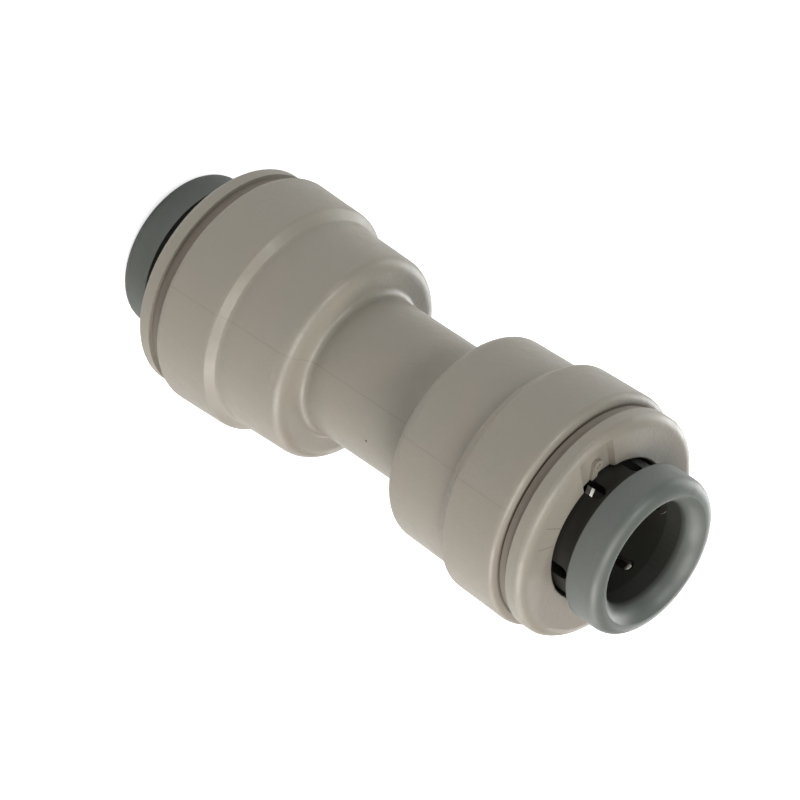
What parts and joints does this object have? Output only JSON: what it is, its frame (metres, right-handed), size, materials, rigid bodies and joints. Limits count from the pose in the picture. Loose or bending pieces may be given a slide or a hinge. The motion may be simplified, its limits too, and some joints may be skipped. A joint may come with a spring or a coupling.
{
  "type": "straight push-fit tube connector",
  "caption": "Equal straight push-fit connector for small plastic tube, with sliding release collets, steel gripping strips and O-ring seals in a moulded body.",
  "frame": {"origin": "middle of the body on the tube axis", "axes": "+Z along the tube axis out of the upper collet, +X and +Y across the body"},
  "size_m": [0.015, 0.015, 0.0386],
  "materials": {
    "body_plastic": "warm light grey moulded plastic, satin",
    "collet_plastic": "dark grey moulded acetal, satin",
    "tooth_steel": "stainless spring steel",
    "seal_rubber": "black rubber"
  },
  "bodies": {
    "fitting": {"connector_body": "body_plastic", "end_cap_upper": "body_plastic", "end_cap_lower": "body_plastic", "o_ring_upper": "seal_rubber", "o_ring_lower": "seal_rubber"},
    "upper_collet": {"collet_upper": "collet_plastic", "grip_tooth_upper_1": "tooth_steel", "grip_tooth_upper_2": "tooth_steel", "grip_tooth_upper_3": "tooth_steel", "grip_tooth_upper_4": "tooth_steel"},
    "lower_collet": {"collet_lower": "collet_plastic", "grip_tooth_lower_1": "tooth_steel", "grip_tooth_lower_2": "tooth_steel", "grip_tooth_lower_3": "tooth_steel", "grip_tooth_lower_4": "tooth_steel"}
  },
  "joints": [
    {"name": "upper_collet_slide", "type": "slide", "parent": "fitting", "child": "upper_collet", "axis": [0, 0, -1], "range_m": [0, 0.00135]},
    {"name": "lower_collet_slide", "type": "slide", "parent": "fitting", "child": "lower_collet", "axis": [0, 0, 1], "range_m": [0, 0.00135]}
  ]
}
